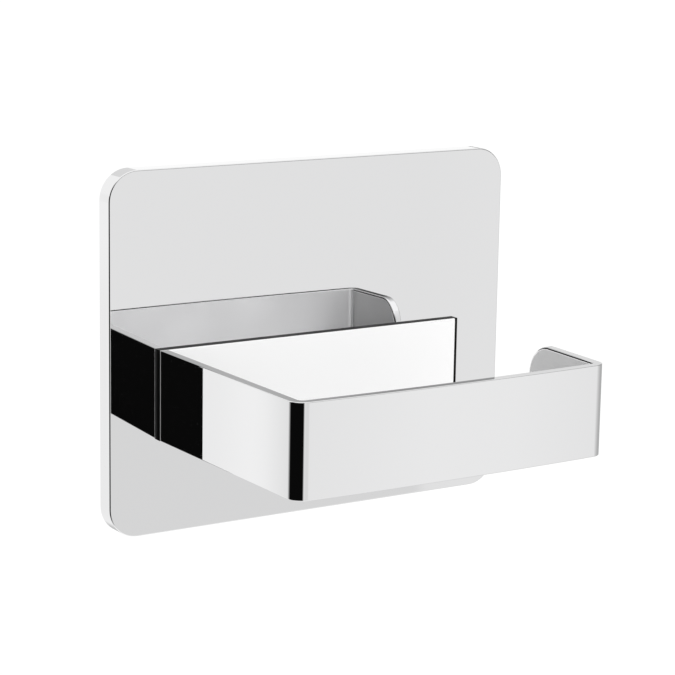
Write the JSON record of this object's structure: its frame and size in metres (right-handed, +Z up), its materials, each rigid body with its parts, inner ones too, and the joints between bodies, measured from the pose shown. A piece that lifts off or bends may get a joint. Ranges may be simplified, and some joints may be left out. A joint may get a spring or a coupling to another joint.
{
  "type": "toilet roll holder",
  "caption": "Wall-mounted toilet roll holder: a polished rectangular plate with rounded corners and an open arm of bent flat strip that carries the roll.",
  "frame": {"origin": "middle of the back of the plate and bracket, on the wall", "axes": "+X to the right seen from the room, +Y into the wall, +Z up"},
  "size_m": [0.1526, 0.0942, 0.12],
  "materials": {
    "polished_plate": "mirror polished",
    "polished_strip": "mirror polished",
    "white_foot": "satin white coating",
    "zinc_fixings": "zinc plated",
    "plain_steel": "rolled stainless sheet",
    "brass_block": "machined brass",
    "dark_screw": "black oxide"
  },
  "bodies": {
    "root": {"face_plate": "polished_plate", "foot_plate": "white_foot", "roll_bar": "polished_strip", "foot_studs": "zinc_fixings", "backing_strip": "plain_steel", "stud_washers": "zinc_fixings", "stud_nuts": "zinc_fixings", "wall_bracket": "plain_steel", "lock_block": "brass_block", "lock_screw": "dark_screw"}
  },
  "joints": []
}
